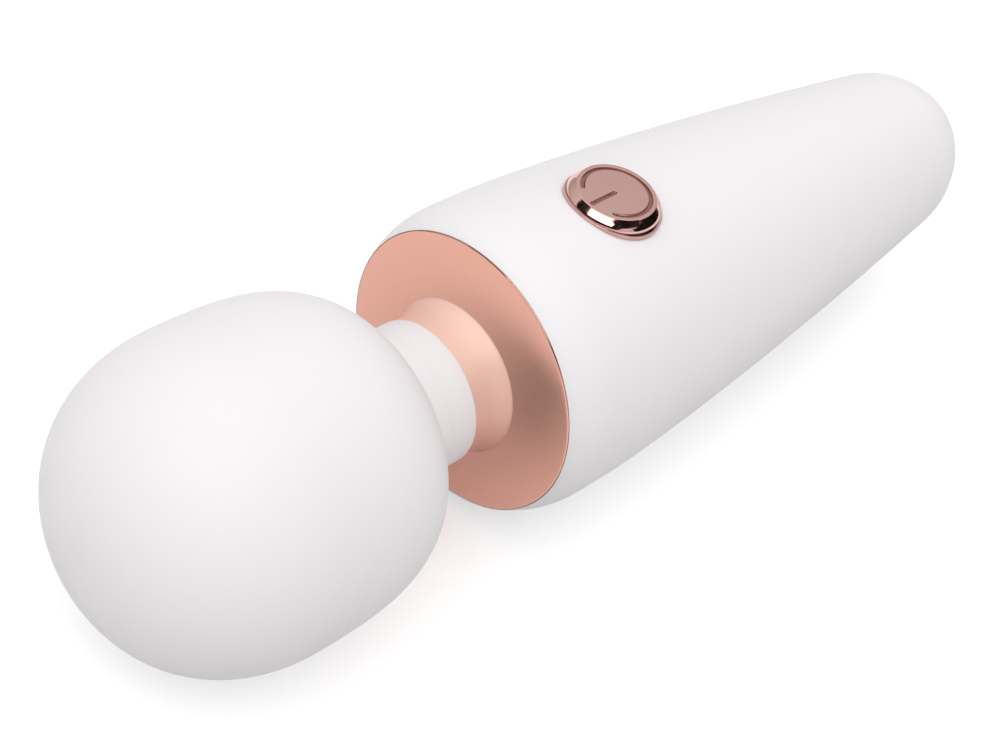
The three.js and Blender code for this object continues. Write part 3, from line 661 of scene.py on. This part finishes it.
def handle_cover():
    """The handle's silicone skin, turned, with a round hole under the button made of its own rings."""
    lip = lip_outline()
    row_count = int((lip[-1][0] - TAIL_START_X) / ROW_STEP)
    body = [lip[-1][0] + (TAIL_START_X - lip[-1][0]) * i / row_count for i in range(1, row_count + 1)]
    outline = lip + [(x, handle_radius(x)) for x in body] + tail_outline()
    rows = [i for i, (x, _) in enumerate(outline) if abs(x - BUTTON_X) < PATCH_REACH]
    first_row, last_row = rows[0], rows[-1]
    half_columns = round(math.asin(PATCH_REACH / handle_radius(BUTTON_X)) / math.tau * ROUND)

    def in_patch(row, column, edge):
        """Whether a vertex lies in the button's patch, at least edge rows and columns inside its border."""
        signed = (column + ROUND // 2) % ROUND - ROUND // 2
        return first_row + edge <= row <= last_row - edge and abs(signed) <= half_columns - edge

    mesh = bmesh.new()
    grid = {}
    for row, (x, radius) in enumerate(outline):
        for column in range(ROUND):
            if not in_patch(row, column, 1):
                grid[row, column] = mesh.verts.new(about_axis(x, radius, math.tau * column / ROUND))
    for row in range(len(outline) - 1):
        for column in range(ROUND):
            after = (column + 1) % ROUND
            corners = [(row, column), (row, after), (row + 1, after), (row + 1, column)]
            if all(in_patch(*corner, 0) for corner in corners):
                continue
            mesh.faces.new([grid[corner] for corner in corners])
    columns = range(-half_columns, half_columns)
    border = [(first_row, column) for column in columns]
    border += [(row, half_columns) for row in range(first_row, last_row)]
    border += [(last_row, -column) for column in columns]
    border += [(row, -half_columns) for row in range(last_row, first_row, -1)]
    outer = [grid[row, column % ROUND] for row, column in border]
    hole_patch(mesh, outer, HOLE_R)
    piece = new_object("handle_cover", mesh, SILICONE)
    full = piece.vertex_groups.new(name="full_wall")
    for vertex in piece.data.vertices:
        behind = LIP_X - vertex.co.x / MM
        full.add([vertex.index], min(1.0, max(LEAST_WALL, behind / FULL_WALL)), "REPLACE")
    wall = piece.modifiers.new("wall", "SOLIDIFY")
    wall.thickness = SKIN * MM
    wall.offset = -1
    wall.vertex_group = full.name
    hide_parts("handle_skin")
    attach(piece, "handle")


def on_handle(x, y, proud=0.0):
    """The point of the handle's upper surface above plan position (x, y), lifted by proud."""
    lift = math.sqrt(handle_radius(x) ** 2 - y * y) + proud
    return Vector((x, y, AXIS_Z + lift)) * MM


def hole_patch(mesh, outer, radius):
    """Fills from a border ring of vertices in to a round hole about the button, on the handle's surface."""
    rings = 8
    previous = outer
    for step in range(1, rings + 1):
        share = 1 - (1 - step / rings) ** CROWDING
        ring = []
        for vertex in outer:
            x, y = vertex.co.x / MM - BUTTON_X, vertex.co.y / MM
            reach = math.hypot(x, y)
            scale = 1 + (radius / reach - 1) * share
            ring.append(mesh.verts.new(on_handle(BUTTON_X + x * scale, y * scale)))
        bridge(mesh, previous, ring)
        previous = ring


# ---- Button --------------------------------------------------------------------------------------
MARK_RING_R = 0.715 * CAP_R
MARK_HALF_WIDTH = 0.036 * CAP_R
MARK_OPENING = math.radians(40)  # half of the gap in the ring
MARK_BAR = (0.06 * CAP_R, 0.73 * CAP_R)
MARK_WALL = 0.09  # how far the groove's sides lean
MARK_DEPTH = 0.28
MARK_FLOOR = 0.26  # deeper than this under the top's middle, the groove takes a duller finish whose darker colour is painted shade
CAP_TOP_R = 0.84 * CAP_R
CAP_CROWN = 0.06  # how far the top's edge lies below its middle
CAP_DROP = 1.35  # from the top's middle to the foot of the bevel
CAP_SKIRT = 2.3  # from there to the underside
CAP_TOP_DEPTH = 1.0  # the whole of the top, its groove included, lies above this depth


def bezel():
    """A polished ring round the button. Its top follows half of the handle's saddle."""
    inner_r = CAP_R + 0.015
    sunk = -1.0
    section = rounded([
        (BEZEL_R, sunk, 0),
        (BEZEL_R, 0.34, 0.08),
        (inner_r, 0.3, 0.02),
        (inner_r, sunk, 0),
    ])
    segments = 160
    mesh = bmesh.new()
    rings = []
    for radius, proud in section:
        ring = []
        for i in range(segments):
            turn = math.tau * i / segments
            fill = max(0.0, proud) * math.sin(turn) ** 2
            place = on_handle(BUTTON_X + radius * math.cos(turn), radius * math.sin(turn), proud + fill)
            ring.append(mesh.verts.new(place))
        rings.append(ring)
    for first, second in zip(rings, rings[1:]):
        bridge(mesh, first, second)
    bridge(mesh, rings[-1], rings[0])
    piece = new_object("bezel_ring", mesh, BUTTON)
    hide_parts("button_bezel")
    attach(piece, "handle")


def smooth_step(value, low, high):
    t = min(1.0, max(0.0, (value - low) / (high - low)))
    return t * t * (3 - 2 * t)


def power_mark_depth(x, y):
    """How deep the engraved power mark is at a place on the button: 0 outside it, 1 in its floor."""
    reach = math.hypot(x, y)
    turn = abs(math.atan2(y, x))
    to_ring = abs(reach - MARK_RING_R)
    if turn < MARK_OPENING:
        end = Vector((math.cos(MARK_OPENING), math.sin(MARK_OPENING))) * MARK_RING_R
        to_ring = (Vector((x, abs(y))) - end).length
    along = min(MARK_BAR[1], max(MARK_BAR[0], x))
    to_bar = math.hypot(x - along, y)
    near = min(to_ring, to_bar)
    return 1 - smooth_step(near, MARK_HALF_WIDTH, MARK_HALF_WIDTH + MARK_WALL)


def button_cap():
    """The push button: a barely crowned top with the power mark, a crisp bevel and a skirt."""
    segments = 320
    rings_in = 76
    section = [(CAP_TOP_R * i / rings_in, -CAP_CROWN * (i / rings_in) ** 2) for i in range(rings_in + 1)]
    crest = Vector(section[-1]) + Vector((0.03, -0.02))
    section.append(tuple(crest))
    foot = (CAP_R, -CAP_DROP)
    bevel = bezier(crest, crest + Vector((0.45, -0.47)), (CAP_R - 0.04, -CAP_DROP * 0.68), foot, 18)
    base = -CAP_DROP - CAP_SKIRT
    section += bevel + [(CAP_R, -CAP_DROP - 0.1), (SKIRT_R, -CAP_DROP - 0.2)]
    section += [(SKIRT_R, base + 0.1), (SKIRT_R - 0.2, base), (0, base)]
    mesh = bmesh.new()
    rings = []
    for radius, sink in section:
        turns = [0.0] if radius == 0 else [math.tau * i / segments for i in range(segments)]
        ring = []
        for turn in turns:
            x, y = radius * math.cos(turn), radius * math.sin(turn)
            on_top = radius <= CAP_TOP_R and sink > -CAP_TOP_DEPTH
            engraved = MARK_DEPTH * power_mark_depth(x, y) if on_top else 0
            place = Vector((BUTTON_X + x, y, AXIS_Z + CAP_TOP + sink - engraved)) * MM
            ring.append(mesh.verts.new(place))
        rings.append(ring)
    for first, second in zip(rings, rings[1:]):
        bridge(mesh, first, second)
    for face in mesh.faces:
        centre = face.calc_center_median() / MM
        sunk = AXIS_Z + CAP_TOP - centre.z
        beside = math.hypot(centre.x - BUTTON_X, centre.y)
        # the groove's faces take the darker material, which paints shade into the recess
        in_groove = beside < CAP_TOP_R - 0.1 and MARK_FLOOR < sunk < CAP_TOP_DEPTH
        face.material_index = 1 if in_groove else 0
    piece = new_object("push_button", mesh, BUTTON)
    piece.data.materials.append(ENGRAVED)
    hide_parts("button_cap")
    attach(piece, "button")


# ---- Charging plug -------------------------------------------------------------------------------
def tail_plug():
    """The plug that closes the tail: a rim round a sunk face, with the contacts standing in it."""
    face_x = TAIL_X + 0.4
    inside_x = TAIL_X + 6
    outline = rounded([
        (face_x, 0, 0),
        (face_x, PLUG_R - 1.1, 0.12),
        (TAIL_X, PLUG_R - 0.9, 0.1),
        (TAIL_X, PLUG_R, 0.25),
        (inside_x, PLUG_R, 0),
        (inside_x, 0, 0),
    ])
    piece = turned("charge_plug", outline, PLUG, segments=72)
    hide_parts("tail_plug")
    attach(piece, "handle")


# ---- Floor, lights and camera --------------------------------------------------------------------
# Distances here are in metres, unless a comment says otherwise.
FLOOR_HALF = 3.0
FLOOR_GLOW = 0.28
FLOOR_DROP = 0.0002  # below the belly, so that the two faces never coincide
LIT_PLACE = Vector((0, 0, 0.02))  # what the lights and cards face
LIGHT_ROUND = 21  # degrees from +X towards +Y
LIGHT_ABOVE = 71
TENT_DIM = 0.12
TENT_BRIGHT = 1.19
MIRROR_CLEAR = 0.0015  # in front of the collar's face


def floor():
    """The plain pale floor. It glows a little. Polished pieces mirror it, but it lights nothing else."""
    data = bpy.data.meshes.new("floor")
    corners = [(x * FLOOR_HALF, y * FLOOR_HALF, 0) for x, y in ((-1, -1), (1, -1), (1, 1), (-1, 1))]
    data.from_pydata(corners, [], [(0, 1, 2, 3)])
    data.materials.append(new_material("pale_floor", (0.94, 0.94, 0.94), 0.8, Specular_IOR_Level=0.1))
    shader_of(data.materials[0]).inputs["Emission Color"].default_value = (1, 1, 1, 1)
    shader_of(data.materials[0]).inputs["Emission Strength"].default_value = FLOOR_GLOW
    made = bpy.data.objects.new("floor", data)
    made.location.z = -FLOOR_DROP
    made.visible_diffuse = False
    bpy.context.scene.collection.objects.link(made)


def toward(azimuth, elevation):
    """A unit direction from degrees round from +X towards +Y, and above the horizon."""
    a, e = math.radians(azimuth), math.radians(elevation)
    return Vector((math.cos(a) * math.cos(e), math.sin(a) * math.cos(e), math.sin(e)))


def face_the_wand(made, azimuth, elevation, distance):
    """Puts a light or card at a direction and distance from the wand, facing it."""
    away = toward(azimuth, elevation)
    made.location = LIT_PLACE + away * distance
    made.rotation_euler = away.to_track_quat("Z", "Y").to_euler()


def softbox(name, azimuth, elevation, distance, size, power):
    """A rectangular soft light that isn't seen in reflections."""
    data = bpy.data.lights.new(name, "AREA")
    data.shape = "RECTANGLE"
    data.size, data.size_y = size
    data.energy = power
    made = bpy.data.objects.new(name, data)
    made.visible_glossy = False
    face_the_wand(made, azimuth, elevation, distance)
    bpy.context.scene.collection.objects.link(made)


def card(name, azimuth, elevation, distance, size, colour, glow):
    """A flat rectangular card, seen only in reflections."""
    w, h = size[0] / 2, size[1] / 2
    data = bpy.data.meshes.new(name)
    data.from_pydata([(-w, -h, 0), (w, -h, 0), (w, h, 0), (-w, h, 0)], [], [(0, 1, 2, 3)])
    finish = new_material(name, (0.0, 0.0, 0.0), 0.9, Specular_IOR_Level=0.0)
    shader_of(finish).inputs["Emission Color"].default_value = (*colour, 1)
    shader_of(finish).inputs["Emission Strength"].default_value = glow
    data.materials.append(finish)
    made = bpy.data.objects.new(name, data)
    made.visible_camera = False
    made.visible_diffuse = False
    made.visible_shadow = False
    made.visible_transmission = False
    face_the_wand(made, azimuth, elevation, distance)
    bpy.context.scene.collection.objects.link(made)


def studio_cards():
    """Plain rectangular flags and one strip light, for contrast on the polished metal."""
    dark = (0.01, 0.006, 0.005)
    lamp = (1.0, 0.97, 0.94)
    card("card_front", 8, 41, 1.1, (2.6, 0.72), dark, 1.0)
    card("card_corner", 84, 46, 1.15, (1.3, 0.46), dark, 1.0)
    card("card_left", 136, 15, 1.15, (1.8, 0.8), dark, 1.0)
    card("card_strip", 15, 49, 0.9, (0.84, 0.24), lamp, 4.0)


def keep_out_of_mirror():
    """Leaves what reaches past the collar's face out of every reflection, which is not physical."""
    face_x = COLLAR_HIGH.x * MM + MIRROR_CLEAR
    meshes = [thing for thing in bpy.context.scene.objects if thing.type == "MESH"]
    for thing in meshes:
        if max((thing.matrix_world @ Vector(corner)).x for corner in thing.bound_box) > face_x:
            thing.visible_glossy = False


def light_tent():
    """White all round, brightening smoothly towards the overhead light."""
    world = bpy.data.worlds.new("light_tent")
    world.use_nodes = True
    background = world.node_tree.nodes["Background"]
    background.inputs["Color"].default_value = (1.0, 0.988, 0.992, 1)
    coordinates = add_node(world, "ShaderNodeTexCoord")
    facing = add_node(world, "ShaderNodeVectorMath", operation="DOT_PRODUCT")
    facing.inputs[1].default_value = toward(LIGHT_ROUND, LIGHT_ABOVE)
    link(world, coordinates.outputs["Generated"], facing.inputs[0])
    strength = ranged(world, facing.outputs["Value"], TENT_DIM, TENT_BRIGHT, -1, 1)
    link(world, strength, background.inputs["Strength"])
    bpy.context.scene.world = world


def studio():
    light_tent()
    bpy.context.scene.view_settings.view_transform = "Standard"
    softbox("overhead", LIGHT_ROUND, LIGHT_ABOVE, 1.1, (1.4, 1.4), 2.0)
    studio_cards()
    floor()


CAMERA_REACH = 11.166  # head radii from the aim point
CAMERA_AIM = (-2.049, 0.0813, -0.0451)  # from the head's centre, in head radii
CAMERA_ROUND = 31.70  # degrees from +X towards +Y
CAMERA_ABOVE = 43.43
CAMERA_ROLL = 20.01
CAMERA_LENS = 64.8


def camera():
    data = bpy.data.cameras.new("camera")
    data.lens = CAMERA_LENS
    data.sensor_width = 36
    made = bpy.data.objects.new("camera", data)
    away = toward(CAMERA_ROUND, CAMERA_ABOVE)
    centre = Vector((HEAD_X, 0, AXIS_Z))
    aim = (centre + Vector(CAMERA_AIM) * HEAD_R) * MM
    made.location = aim + away * CAMERA_REACH * HEAD_R * MM
    upright = away.to_track_quat("Z", "Y")
    roll = Euler((0, 0, math.radians(CAMERA_ROLL))).to_quaternion()
    made.rotation_euler = (upright @ roll).to_euler()
    bpy.context.scene.collection.objects.link(made)
    bpy.context.scene.camera = made


camera()
finish_cad_nodes()
head_skin()
neck_cover()
neck_ring()
collar()
handle_cover()
bezel()
button_cap()
tail_plug()
keep_out_of_mirror()
studio()
